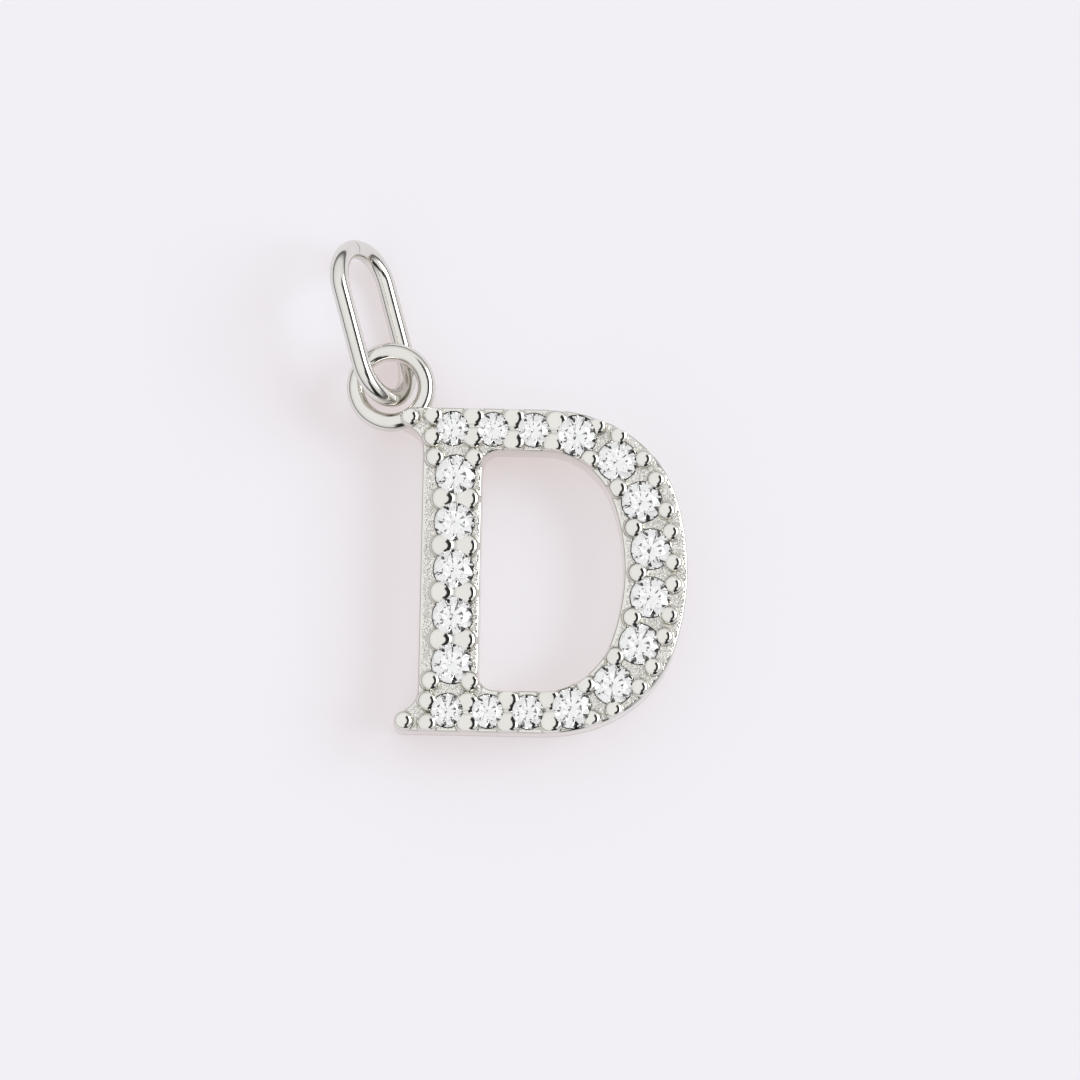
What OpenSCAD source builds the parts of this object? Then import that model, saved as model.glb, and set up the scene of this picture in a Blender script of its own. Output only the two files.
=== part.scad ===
// Initial pendant: a cast serif letter D set with round brilliants,
// with a small flat loop at its upper left corner and an oval jump ring.
// It lies on its back: X runs across the letter, Y up it, and Z out of its face.
// Millimetres. The origin is the bottom centre of the whole pendant's box.

/* [Letter] */
// Height of the letter over its top and bottom bars
letter_height = 9.75; // [8.5:0.05:13]
// Width of the letter from the stem's left wall to the side of the bowl
letter_width = 8.02; // [7:0.01:11]
// Thickness of the casting from back to face
letter_depth = 1.6; // [1.3:0.05:2.6]
// Width of the stem's stroke
stem_width = 1.84; // [1.7:0.02:2.4]
// Width of the top and bottom bars
bar_width = 1.32; // [1.2:0.02:1.8]
// Distance from the row of stones to the outer wall at the side of the bowl
bowl_outer = 1.09; // [1:0.01:1.5]
// Distance from the row of stones to the counter at the side of the bowl
bowl_inner = 0.85; // [0.75:0.01:1.2]
// Radius of the row of stones where the bowl turns into a bar
bowl_corner_radius = 3.05; // [2.2:0.05:3.3]
// Half the angle of the flatter arc at the side of the bowl
bowl_side_angle = 18.5; // [12:0.5:40]
// How soon the bowl's stroke swells on its way from a bar to the side
bowl_swell = 2.5; // [2:0.1:4]

/* [Corners and edges] */
// How far a serif's tip reaches past the stem's left wall
serif_reach = 0.72; // [0.5:0.01:0.9]
// Radius of a serif's round tip
serif_tip = 0.33; // [0.28:0.01:0.42]
// Radius of the hollow between a serif and the stem
serif_hollow = 0.65; // [0.4:0.01:1]
// Radius of the counter's two corners at the stem
counter_corner = 0.45; // [0.3:0.01:0.6]
// Radius of the rounded shoulder around the face
face_shoulder = 0.14; // [0.08:0.01:0.2]
// How far the walls draw in from the back to the shoulder
wall_draft = 0.03; // [0:0.01:0.08]
// Bevel around the back
back_bevel = 0.07; // [0.03:0.01:0.15]

/* [Stones] */
// Diameter of the stones in the stem and the bowl
large_stone = 1.2; // [1:0.05:1.35]
// Diameter of the stones in the bars and the corners
small_stone = 1; // [0.8:0.05:1.15]
// Metal between the rims of neighbouring stones
stone_spacing = 0.2; // [0.1:0.01:0.4]
// How far the stem's stones sit to the right of the middle of its stroke
stem_row_shift = 0.1; // [0:0.01:0.15]
// How far a stone's girdle sits below the face
stone_sink = 0.02; // [0:0.01:0.08]
// Gap between a stone and the seat that is drilled for it
seat_gap = 0.03; // [0.02:0.005:0.05]
// Diameter of the table as a share of the stone
table_share = 0.56; // [0.5:0.01:0.62]
// Height of the crown as a share of the stone
crown_share = 0.15; // [0.12:0.01:0.18]
// Depth of the pavilion as a share of the stone
pavilion_share = 0.43; // [0.4:0.01:0.46]
// Thickness of a stone's girdle
girdle = 0.03; // [0.02:0.005:0.05]
// Turn of each stone in its seat from the one before it
stone_turn = 17; // [0:1:45]
// How far each stone leans from level in its seat
stone_lean = 1.4; // [0:0.1:2]

/* [Grain beads] */
// Diameter of the beads
bead = 0.54; // [0.4:0.01:0.6]
// Diameter of the beads in pairs along the outside of the bowl
outer_bead = 0.5; // [0.4:0.01:0.56]
// How far the beads stand above the face
bead_rise = 0.26; // [0.18:0.01:0.3]
// How far a bead laps over the rim of the stone that it holds
bead_lap = 0.05; // [0.02:0.01:0.08]
// How far a bead of an outer pair laps over its stone
outer_bead_lap = 0.09; // [0.04:0.01:0.12]
// Distance between the two beads of an outer pair, along the row
outer_pair = 0.6; // [0.56:0.01:0.7]
// How far the lower beads at a corner stone sit from the bar's row
corner_bead_drop = 0.27; // [0.22:0.01:0.36]
// Direction from the end stones of the stem to the beads beyond them
stem_end_angle = 40; // [34:1:48]

/* [Loop] */
// Diameter of the loop's hole
loop_hole = 1.6; // [1.4:0.05:2]
// Width of the loop's band
loop_band = 0.53; // [0.4:0.01:0.7]
// Thickness of the loop
loop_depth = 0.75; // [0.6:0.01:0.9]
// Radius of the loop's rounded edges
loop_round = 0.22; // [0.1:0.01:0.28]
// How far the middle of the hole sits left of the stem's wall
loop_left = 0.97; // [0.9:0.01:1.05]
// How far the middle of the hole sits above the letter
loop_up = 0.6; // [0.5:0.01:0.7]
// Room in the hole around the corner of the letter
loop_relief = 0.02; // [0.01:0.005:0.05]

/* [Jump ring] */
// Diameter of the ring's wire
ring_wire = 0.56; // [0.4:0.01:0.6]
// Length of the ring over its wire
ring_length = 5.2; // [4.6:0.05:6.5]
// Width of the ring over its wire
ring_width = 2.9; // [2.7:0.05:3.4]
// How far the ring leans up from the surface, about its long axis
ring_tilt = 55; // [52:1:62]
// How far the ring's long axis turns to the left of the letter's height
ring_turn = 16; // [10:1:22]
// Gap between the ring's lower side and the loop above it
ring_clearance = 0.12; // [0.08:0.01:0.2]
// Where the wire passes the hole, along and across the ring, as shares of its free play
ring_place = [-0.62, -0.2]; // [-0.7:0.01:0]

/* [Hidden] */
// Facets of round surfaces where they are shown as a mesh
round_steps = 48;
$fn = round_steps;

// Edges and rows of the letter, measured from its middle
half_height = letter_height / 2;
right_wall = letter_width / 2;
left_wall = -right_wall;
stem_right = left_wall + stem_width;
stem_middle = left_wall + stem_width / 2;
stem_row = stem_middle + stem_row_shift;
bar_half = bar_width / 2;
bar_row = half_height - bar_half;

// The bowl's row of stones: a flat arc at the side and a tighter one at each end
corner_y = bar_row - bowl_corner_radius;
side_radius = bowl_corner_radius + corner_y / sin(bowl_side_angle);
side_x = right_wall - bowl_outer - side_radius;
corner_x = side_x + (side_radius - bowl_corner_radius) * cos(bowl_side_angle);

// Lengths along half of the row, from the side of the bowl to the corner stone
side_length = side_radius * bowl_side_angle * PI / 180;
turn_length = bowl_corner_radius * (90 - bowl_side_angle) * PI / 180;
half_row = side_length + turn_length + corner_x - stem_middle;

// Point of the row at a distance from the side of the bowl, as [x, y, direction outwards]
function row_at(s) =
    s < 0 ? let (p = row_at(-s)) [p[0], -p[1], -p[2]]
    : s < side_length ? arc_point([side_x, 0], side_radius, s / side_radius * 180 / PI)
    : s < side_length + turn_length
        ? arc_point([corner_x, corner_y], bowl_corner_radius,
                    bowl_side_angle + (s - side_length) / bowl_corner_radius * 180 / PI)
    : [corner_x - (s - side_length - turn_length), bar_row, 90];
function arc_point(centre, radius, a) =
    [centre[0] + radius * cos(a), centre[1] + radius * sin(a), a];
function direction(a) = [cos(a), sin(a)];
function flip(p) = [p[0], -p[1]];

// Stones of a bar, from the corner towards the bowl
small_pitch = small_stone + stone_spacing;
bar_count = floor((corner_x - stem_middle) / small_pitch) + 1;
function bar_stone(i) = let (p = row_at(half_row - i * small_pitch)) [p[0], p[1]];

// Stones of the bowl, evenly spread between the two bars
bowl_start = half_row - (bar_count - 1) * small_pitch - (small_stone + large_stone) / 2 - stone_spacing;
bowl_count = floor(2 * bowl_start / (large_stone + stone_spacing)) + 1;
bowl_pitch = 2 * bowl_start / (bowl_count - 1);
function bowl_stone(i) = let (p = row_at(bowl_start - i * bowl_pitch)) [p[0], p[1]];

// Stones of the stem, evenly spread between the two corners
stem_room = 2 * bar_row - small_stone - stone_spacing;
stem_count = floor(stem_room / (large_stone + stone_spacing));
stem_pitch = 2 * bar_row / (stem_count + 1);
function stem_stone(i) = [stem_row, bar_row - (i + 1) * stem_pitch];

// Every stone as [name, place, diameter]
STONES = concat(
    [for (i = [0 : stem_count - 1]) [str("stem_stone_", i + 1), stem_stone(i), large_stone]],
    [for (i = [0 : bar_count - 1]) [str("top_bar_stone_", i + 1), bar_stone(i), small_stone]],
    [for (i = [0 : bowl_count - 1]) [str("bowl_stone_", i + 1), bowl_stone(i), large_stone]],
    [for (i = [0 : bar_count - 1])
        [str("bottom_bar_stone_", i + 1), flip(bar_stone(i)), small_stone]]);

// Distance from a stone's middle to a bead that laps over its rim
function bead_reach(stone) = (stone + bead) / 2 - bead_lap;

// Beads stand on both sides of the gap between stones a and b, no further out than the two limits
function gap_beads(a, b, reach, left_limit, right_limit) =
    let (span = norm(b - a),
         side = [a[1] - b[1], b[0] - a[0]] / span,
         away = sqrt(max(pow(reach, 2) - pow(span / 2, 2), pow(bead, 2) / 3)))
    [(a + b) / 2 + side * min(away, left_limit), (a + b) / 2 - side * min(away, right_limit)];

// Beads along the top bar, its outer row first, with the corner stone's own pair to the left
bar_limit = bar_half - bead / 2;
bar_outer_beads = [for (i = [0 : bar_count - 1])
    let (next = i < bar_count - 1 ? bar_stone(i + 1) : bowl_stone(0),
         reach = bead_reach(i < bar_count - 1 ? small_stone : large_stone))
    gap_beads(bar_stone(i), next, reach, bar_limit, bar_limit)];
corner_left = stem_middle - small_pitch / 2;
corner_beads = [[corner_left, bar_outer_beads[0][0][1]], [corner_left, bar_row - corner_bead_drop]];
bar_beads = concat(
    [for (i = [0 : bar_count - 1]) bar_outer_beads[i][0]],
    [for (i = [0 : bar_count - 1])
        i == 0 ? [bar_outer_beads[0][1][0], bar_row - corner_bead_drop] : bar_outer_beads[i][1]]);

// Beads along the stem, and one pair beyond each of its end stones
stem_left_limit = stem_row - left_wall - bead / 2;
stem_right_limit = stem_right - stem_row - bead / 2;
stem_beads = [for (i = [0 : 1 : stem_count - 2])
    each gap_beads(stem_stone(i), stem_stone(i + 1), bead_reach(large_stone),
                   stem_right_limit, stem_left_limit)];
end_reach = bead_reach(large_stone) * direction(stem_end_angle);
stem_end_beads = [
    stem_stone(0) + [min(end_reach[0], stem_right_limit), end_reach[1]],
    stem_stone(0) + [-min(end_reach[0], stem_left_limit), end_reach[1]]];

// Beads around the bowl: one in each gap on the inside, two on the outside
bowl_inner_beads = [for (i = [0 : 1 : bowl_count - 2])
    gap_beads(bowl_stone(i), bowl_stone(i + 1), bead_reach(large_stone), bowl_outer,
              stroke_in(row_at(bowl_start - (i + 0.5) * bowl_pitch)[2]) - bead / 2)[1]];
outer_reach = (large_stone + outer_bead) / 2 - outer_bead_lap;
outer_along = (bowl_pitch - outer_pair) / 2;
outer_away = sqrt(max(pow(outer_reach, 2) - pow(outer_along, 2), pow(outer_bead, 2)));
bowl_outer_beads = [for (i = [0 : 1 : bowl_count - 2], side = [-1, 1])
    let (p = row_at(bowl_start - (i + 0.5) * bowl_pitch + side * outer_pair / 2))
    [p[0], p[1]] + direction(p[2]) * min(outer_away, stroke_out(p[2]) - outer_bead / 2)];

// Serif tip, and the hollow that runs from it into the stem
tip_centre = [left_wall - serif_reach + serif_tip, half_height - serif_tip];
hollow_x = left_wall - serif_hollow;
hollow_y = tip_centre[1]
    - sqrt(pow(serif_tip + serif_hollow, 2) - pow(hollow_x - tip_centre[0], 2));
hollow_angle = atan2(tip_centre[1] - hollow_y, tip_centre[0] - hollow_x);

// Width of the bowl's stroke outside and inside the row, where the wall faces the angle a
function swell(a) = 1 - pow(abs(sin(a)), bowl_swell);
function stroke_out(a) = bar_half + (bowl_outer - bar_half) * swell(a);
function stroke_in(a) = bar_half + (bowl_inner - bar_half) * swell(a);

// Walls of the letter as lists of [point, direction out of the metal], counterclockwise
side_steps = 6;
turn_steps = 16;
tip_steps = 10;
hollow_steps = 6;
counter_steps = 8;
bowl_angles = concat(
    [for (i = [0 : side_steps - 1]) bowl_side_angle * i / side_steps],
    [for (i = [0 : turn_steps]) bowl_side_angle + (90 - bowl_side_angle) * i / turn_steps]);
function bowl_row(a) =
    let (p = a < bowl_side_angle ? arc_point([side_x, 0], side_radius, a)
             : arc_point([corner_x, corner_y], bowl_corner_radius, a))
    [p[0], p[1]];
serif_wall = concat(
    [for (i = [0 : tip_steps])
        let (a = 90 + i * (90 + hollow_angle) / tip_steps)
        [tip_centre + serif_tip * direction(a), a]],
    [for (i = [1 : hollow_steps])
        let (a = hollow_angle * (1 - i / hollow_steps))
        [[hollow_x, hollow_y] + serif_hollow * direction(a), a + 180]]);
counter_centre = [stem_right + counter_corner, bar_row - bar_half - counter_corner];
function mirrored(w) = [flip(w[0]), -w[1]];
function with_lower_half(half) =
    concat(half, [for (i = [len(half) - 1 : -1 : 1]) mirrored(half[i])]);
outer_wall = with_lower_half(concat(
    [for (a = bowl_angles) [bowl_row(a) + direction(a) * stroke_out(a), a]],
    serif_wall));
counter_wall = with_lower_half(concat(
    [for (a = bowl_angles) [bowl_row(a) - direction(a) * stroke_in(a), a + 180]],
    [for (i = [0 : counter_steps])
        let (a = 90 + 90 * i / counter_steps)
        [counter_centre + counter_corner * direction(a), a + 180]]));

// Profile of a wall from back to face as [inset into the metal, height]. It runs past the
// back and the face, where a plate of the letter's depth cuts it flat, and further past them
// at the counter than at the outer wall.
slope = 1 - cos(45);
bevel_top = [0, back_bevel];
shoulder_start = [wall_draft, letter_depth - face_shoulder];
shoulder_middle = [wall_draft + slope * face_shoulder, letter_depth - slope * face_shoulder];
outer_overrun = 0.3;
counter_overrun = 0.6;
function past(from, to, share) = to + share * (to - from);
function wall_profile(overrun) = [
    past(bevel_top, [back_bevel, 0], overrun),
    bevel_top,
    shoulder_start,
    shoulder_middle,
    past(shoulder_middle, [wall_draft + face_shoulder, letter_depth], overrun)];

// Loop, ring and the place where the ring's wire passes the hole
loop_centre = [left_wall - loop_left, half_height + loop_up];
loop_inner_radius = loop_hole / 2;
loop_outer_radius = loop_inner_radius + loop_band;
loop_bottom = ring_wire + ring_clearance;
loop_edge_steps = 4;
wire_radius = ring_wire / 2;
ring_bend = (ring_width - ring_wire) / 2;
ring_straight = ring_length - ring_width;
ring_height = wire_radius + ring_bend * sin(ring_tilt);
ring_along = direction(90 + ring_turn);
ring_across = direction(180 + ring_turn);
pass_sine = (loop_bottom + loop_depth / 2 - ring_height) / (ring_bend * sin(ring_tilt));
free_play = loop_inner_radius - wire_radius;
pass_point = loop_centre + free_play * (ring_place[0] * ring_along + ring_place[1] * ring_across);
ring_centre = pass_point
    + (ring_straight / 2 + ring_bend * sqrt(1 - pow(pass_sine, 2))) * ring_along
    - ring_bend * pass_sine * cos(ring_tilt) * ring_across;

// Box of the whole pendant, whose bottom centre is the origin
function ring_reach(k) = ring_straight / 2 * abs(ring_along[k])
    + ring_bend * norm([ring_along[k], cos(ring_tilt) * ring_across[k]]) + wire_radius;
box_low = [
    min(ring_centre[0] - ring_reach(0), loop_centre[0] - loop_outer_radius,
        left_wall - serif_reach),
    -half_height];
box_high = [
    max(ring_centre[0] + ring_reach(0), right_wall),
    max(ring_centre[1] + ring_reach(1), loop_centre[1] + loop_outer_radius)];
origin = (box_low + box_high) / 2;

// Puts a piece that is drawn about the middle of the letter into the pendant's frame
module in_frame() {
    translate([-origin[0], -origin[1], 0])
        children();
}

// Solid inside a wall, with a level for each point of the profile
module walled(wall, overrun) {
    profile = wall_profile(overrun);
    count = len(wall);
    levels = len(profile);
    points = [for (row = profile, w = wall)
        let (p = w[0] - direction(w[1]) * row[0])
        [p[0], p[1], row[1]]];
    sides = [for (k = [0 : levels - 2], i = [0 : count - 1])
        let (next = (i + 1) % count,
             a = k * count + i, b = k * count + next,
             c = b + count, d = a + count)
        each [[a, c, b], [a, d, c]]];
    bottom = [for (i = [0 : count - 1]) i];
    top = [for (i = [count - 1 : -1 : 0]) (levels - 1) * count + i];
    polyhedron(points, concat([bottom, top], sides), convexity = 6);
}

// Body of the letter, open through its counter
module letter_body() {
    intersection() {
        difference() {
            walled(outer_wall, outer_overrun);
            walled(counter_wall, counter_overrun);
        }
        translate([-letter_width, -letter_height, 0])
            cube([2 * letter_width, 2 * letter_height, letter_depth]);
    }
}

// Domed bead of the given diameter
module grain_bead(place, size) {
    translate([place[0], place[1], letter_depth + bead_rise - size / 2])
        sphere(d = size);
}

// All beads: the upper half's are repeated below, the rest stand where they are
module grain_beads() {
    upper = concat([tip_centre], corner_beads, bar_beads, stem_end_beads);
    for (p = upper) {
        grain_bead(p, bead);
        grain_bead(flip(p), bead);
    }
    for (p = concat(stem_beads, bowl_inner_beads))
        grain_bead(p, bead);
    for (p = bowl_outer_beads)
        grain_bead(p, outer_bead);
}

// Seat drilled for a stone, which also trims the beads to the slope of its crown
module stone_seat(place, size) {
    rim = size / 2 + seat_gap;
    table = size / 2 * table_share + seat_gap;
    translate([place[0], place[1], letter_depth - stone_sink])
        rotate_extrude()
            polygon([
                [0, -girdle - size * pavilion_share - seat_gap * 1.5],
                [rim, -girdle - seat_gap / 2],
                [rim, seat_gap / 2],
                [table, size * crown_share + seat_gap],
                [0, size * crown_share + seat_gap]]);
}

// Flat loop with rounded edges
module hanging_loop() {
    turn = 90 / loop_edge_steps;
    centres = [
        [loop_outer_radius - loop_round, loop_depth - loop_round],
        [loop_inner_radius + loop_round, loop_depth - loop_round],
        [loop_inner_radius + loop_round, loop_round],
        [loop_outer_radius - loop_round, loop_round]];
    translate([loop_centre[0], loop_centre[1], loop_bottom])
        rotate_extrude()
            polygon([for (q = [0 : 3], i = [0 : loop_edge_steps])
                centres[q] + loop_round * direction(q * 90 + i * turn)]);
}

// Clears the loop's hole where the corner of the letter would reach into it
module loop_clearance() {
    translate([loop_centre[0], loop_centre[1], -letter_depth])
        cylinder(r = loop_inner_radius + loop_relief, h = 3 * letter_depth);
}

// The one-piece silver casting: letter, beads and loop, drilled for the stones
module letter_setting() {
    color("silver")
        in_frame()
            difference() {
                union() {
                    difference() {
                        letter_body();
                        loop_clearance();
                    }
                    hanging_loop();
                    grain_beads();
                }
                for (s = STONES)
                    stone_seat(s[1], s[2]);
            }
}

// Half of the ring's round end
module ring_end() {
    rotate_extrude(angle = 180)
        translate([ring_bend, 0])
            circle(r = wire_radius);
}

// Oval jump ring, leaning up from the surface with its wire through the loop
module jump_ring() {
    color("gainsboro")
        in_frame()
            translate([ring_centre[0], ring_centre[1], ring_height])
                rotate([0, 0, ring_turn])
                    rotate([0, ring_tilt, 0]) {
                        translate([0, ring_straight / 2, 0])
                            ring_end();
                        translate([0, -ring_straight / 2, 0])
                            rotate([0, 0, 180])
                                ring_end();
                        for (side = [-1, 1])
                            translate([side * ring_bend, -ring_straight / 2, 0])
                                rotate([-90, 0, 0])
                                    cylinder(r = wire_radius, h = ring_straight);
                    }
}

// Round brilliant: table, 8 star, 8 kite and 16 upper girdle facets,
// a 16-sided girdle, then 16 lower girdle and 8 main facets down to the culet
star_share = 0.5;
lower_share = 0.28;
module brilliant(size) {
    rim = size / 2;
    table = rim * table_share;
    crown = size * crown_share;
    culet = -girdle - size * pavilion_share;
    star = table + (rim - table) * star_share;
    star_height = crown * (rim - star * cos(22.5)) / (rim - table);
    lower = rim * lower_share;
    lower_height = culet * (1 - lower * cos(22.5) / rim) - girdle * lower * cos(22.5) / rim;
    function ring_points(r, z, first, step) =
        [for (i = [0 : 360 / step - 1]) [r * cos(first + i * step), r * sin(first + i * step), z]];
    // Rows of points: table 0 to 7, stars 8 to 15, upper girdle 16 to 31,
    // lower girdle 32 to 47, lower stars 48 to 55, culet 56
    points = concat(
        ring_points(table, crown, 0, 45),
        ring_points(star, star_height, 22.5, 45),
        ring_points(rim, 0, 0, 22.5),
        ring_points(rim, -girdle, 0, 22.5),
        ring_points(lower, lower_height, 22.5, 45),
        [[0, 0, culet]]);
    faces = concat(
        [[7, 6, 5, 4, 3, 2, 1, 0]],
        [for (i = [0 : 7])
            let (n = (i + 1) % 8, p = (i + 7) % 8,
                 main = 16 + 2 * i, half = main + 1, next_main = 16 + 2 * n,
                 low_main = main + 16, low_half = half + 16, next_low = next_main + 16)
            each [
                [i, n, 8 + i],
                [i, 8 + i, main], [i, main, 8 + p],
                [8 + i, half, main], [8 + i, next_main, half],
                [main, half, low_half], [main, low_half, low_main],
                [half, next_main, next_low], [half, next_low, low_half],
                [48 + i, low_main, low_half], [48 + i, low_half, next_low],
                [56, low_main, 48 + i], [56, 48 + p, low_main]]]);
    polyhedron(points, faces, convexity = 2);
}

// One stone in its place, each leaning another way
lean_step = 137;
module set_stone(i) {
    place = STONES[i][1];
    color("azure")
        in_frame()
            translate([place[0], place[1], letter_depth - stone_sink])
                rotate([0, 0, i * lean_step])
                    rotate([stone_lean, 0, 0])
                        rotate([0, 0, i * (stone_turn - lean_step)])
                            brilliant(STONES[i][2]);
}

letter_setting();
jump_ring();
for (i = [0 : len(STONES) - 1])
    set_stone(i);
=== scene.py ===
import math

import bmesh
import bpy
import numpy as np
from mathutils import Matrix, Vector, noise
from mathutils.geometry import delaunay_2d_cdt


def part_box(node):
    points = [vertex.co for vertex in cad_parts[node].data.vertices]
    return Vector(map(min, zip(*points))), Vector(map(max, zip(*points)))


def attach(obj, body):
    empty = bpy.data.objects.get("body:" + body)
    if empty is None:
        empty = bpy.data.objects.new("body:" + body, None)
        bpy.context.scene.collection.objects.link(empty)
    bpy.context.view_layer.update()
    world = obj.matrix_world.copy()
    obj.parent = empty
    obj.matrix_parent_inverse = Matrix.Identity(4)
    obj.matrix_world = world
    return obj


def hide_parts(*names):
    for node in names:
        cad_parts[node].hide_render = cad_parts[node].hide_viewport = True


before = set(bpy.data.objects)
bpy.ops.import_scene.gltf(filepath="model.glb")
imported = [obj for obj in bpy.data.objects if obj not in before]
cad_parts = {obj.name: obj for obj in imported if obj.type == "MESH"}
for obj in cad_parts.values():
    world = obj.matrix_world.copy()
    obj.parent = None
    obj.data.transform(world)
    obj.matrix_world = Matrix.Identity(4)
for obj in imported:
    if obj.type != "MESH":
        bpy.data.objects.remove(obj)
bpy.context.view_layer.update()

# Sizes are in millimetres and meshes in metres
MM = 0.001

# The letter's profile and its stones, as the frame has them, apart from a crisper shoulder
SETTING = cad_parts["letter_setting"]
BEAD_RISE = 0.26
BEAD_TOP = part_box("letter_setting")[1][2] / MM
FACE = BEAD_TOP - BEAD_RISE
WALL_DRAFT = 0.03
SHOULDER = 0.06
BACK_BEVEL = 0.07
SEAT_GAP = 0.03
GIRDLE = 0.03
STONE_SINK = 0.02
TABLE_SHARE = 0.56
CROWN_SHARE = 0.15
PAVILION_SHARE = 0.43

# How near two points are to become one, and how exact a level cut is
WELD_DISTANCE = 1e-4
CUT_TOLERANCE = 1e-5


def stone_seats():
    """Middle and diameter of every stone, as rows of [x, y, diameter]."""
    rows = []
    for name in sorted(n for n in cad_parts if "stone" in n):
        low, high = (np.array(corner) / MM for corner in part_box(name))
        rows.append([*(low[:2] + high[:2]) / 2, round(max(high[:2] - low[:2]), 1)])
    return np.array(rows)


def level_loops(node, height):
    """Closed loops where a level plane cuts a node, as arrays of [x, y], the longest first."""
    cut = bmesh.new()
    cut.from_mesh(node.data)
    bmesh.ops.remove_doubles(cut, verts=cut.verts, dist=WELD_DISTANCE * MM)
    everything = cut.verts[:] + cut.edges[:] + cut.faces[:]
    found = bmesh.ops.bisect_plane(cut, geom=everything, dist=CUT_TOLERANCE * MM,
                                   plane_co=(0, 0, height * MM), plane_no=(0, 0, 1))
    beside = {}
    for edge in found["geom_cut"]:
        if isinstance(edge, bmesh.types.BMEdge):
            a, b = edge.verts
            beside.setdefault(a, []).append(b)
            beside.setdefault(b, []).append(a)
    loops = []
    while beside:
        here = next(iter(beside))
        walk = []
        while here is not None:
            walk.append(here)
            onward = [v for v in beside.pop(here) if v in beside]
            here = onward[0] if onward else None
        loops.append(np.array([v.co[:2] for v in walk]) / MM)
    cut.free()
    return sorted(loops, key=loop_length, reverse=True)


def loop_length(loop):
    return np.linalg.norm(np.roll(loop, -1, axis=0) - loop, axis=1).sum()


def smooth_loop(loop, spacing, softness):
    """Even points along a loop, counterclockwise, with its facets smoothed away."""
    steps = np.linalg.norm(np.roll(loop, -1, axis=0) - loop, axis=1)
    along = np.concatenate([[0], np.cumsum(steps)])
    count = int(round(along[-1] / spacing))
    places = np.arange(count) * along[-1] / count
    closed = np.vstack([loop, loop[:1]])
    even = np.stack([np.interp(places, along, closed[:, k]) for k in (0, 1)], axis=1)
    x, y = even.T
    if (x * np.roll(y, -1) - y * np.roll(x, -1)).sum() < 0:
        even = even[::-1]
    # Weights fall off as a bell curve does, and end at three times its width
    reach = int(3 * softness / spacing)
    weights = np.exp(-0.5 * (np.arange(-reach, reach + 1) * spacing / softness) ** 2)
    weights /= weights.sum()
    return sum(w * np.roll(even, k, axis=0) for w, k in zip(weights, range(-reach, reach + 1)))


def to_the_right(loop):
    """Unit vectors that point to the right of a loop's own direction."""
    run = np.roll(loop, -1, axis=0) - np.roll(loop, 1, axis=0)
    run /= np.linalg.norm(run, axis=1)[:, None]
    return np.stack([run[:, 1], -run[:, 0]], axis=1)


# Walls of the letter: points on them and directions out of the metal
SEATS = stone_seats()
WALL_HEIGHT = 0.3
WALL_SPACING = 0.045
WALL_SOFTNESS = 0.05
OUTER, COUNTER = (smooth_loop(loop, WALL_SPACING, WALL_SOFTNESS)
                  for loop in level_loops(SETTING, WALL_HEIGHT)[:2])
WALLS = [(OUTER, to_the_right(OUTER)), (COUNTER, -to_the_right(COUNTER))]
LETTER_MIDDLE = (OUTER.min(axis=0) + OUTER.max(axis=0)) / 2

# The photo's frame is 1080 pixels wide and shows 33.6 of them for each millimetre. The middle of
# the letter lies at LETTER_PIXEL, and the letter is shown turned clockwise by SHOWN_TURN degrees
PHOTO_SIDE = 1080
PIXELS_PER_MM = 33.6
LETTER_PIXEL = (542, 571)
SHOWN_TURN = 1.15
CAMERA_ELEVATION = 84.5
LENS = 200
SENSOR = 36


def place_camera():
    """Looks steeply down at the letter, from just below it."""
    distance = PHOTO_SIDE / PIXELS_PER_MM * LENS / SENSOR
    lift = math.radians(CAMERA_ELEVATION)
    back = Vector((0, -math.cos(lift), math.sin(lift)))
    roll = Matrix.Rotation(math.radians(SHOWN_TURN), 3, "Z")
    stance = back.to_track_quat("Z", "Y").to_matrix() @ roll
    right = (PHOTO_SIDE / 2 - LETTER_PIXEL[0]) / PIXELS_PER_MM
    up = (LETTER_PIXEL[1] - PHOTO_SIDE / 2) / PIXELS_PER_MM
    aim = Vector((*LETTER_MIDDLE, FACE)) + stance @ Vector((right, up, 0))
    camera = bpy.data.objects.new("camera", bpy.data.cameras.new("camera"))
    camera.data.lens = LENS
    camera.data.sensor_width = SENSOR
    camera.data.clip_start = MM
    camera.matrix_world = Matrix.Translation((aim + back * distance) * MM) @ stance.to_4x4()
    bpy.context.scene.collection.objects.link(camera)
    bpy.context.scene.camera = camera


class Shade:
    """A socket of a material or of the world, on which sums are written as plain expressions."""

    def __init__(self, tree, socket):
        self.tree, self.socket = tree, socket

    def math(self, how, *others):
        return self.tree.node("ShaderNodeMath", {"operation": how}, [self, *others])

    def __add__(self, other):
        return self.math("ADD", other)

    def __mul__(self, other):
        return self.math("MULTIPLY", other)

    def __rsub__(self, other):
        return self.tree.node("ShaderNodeMath", {"operation": "SUBTRACT"}, [other, self])

    __radd__, __rmul__ = __add__, __mul__

    def between(self, low, high):
        """0 up to low, 1 from high, and a smooth ramp between them."""
        return self.tree.node("ShaderNodeMapRange", {"interpolation_type": "SMOOTHSTEP"},
                              {"Value": self, "From Min": low, "From Max": high})


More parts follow.
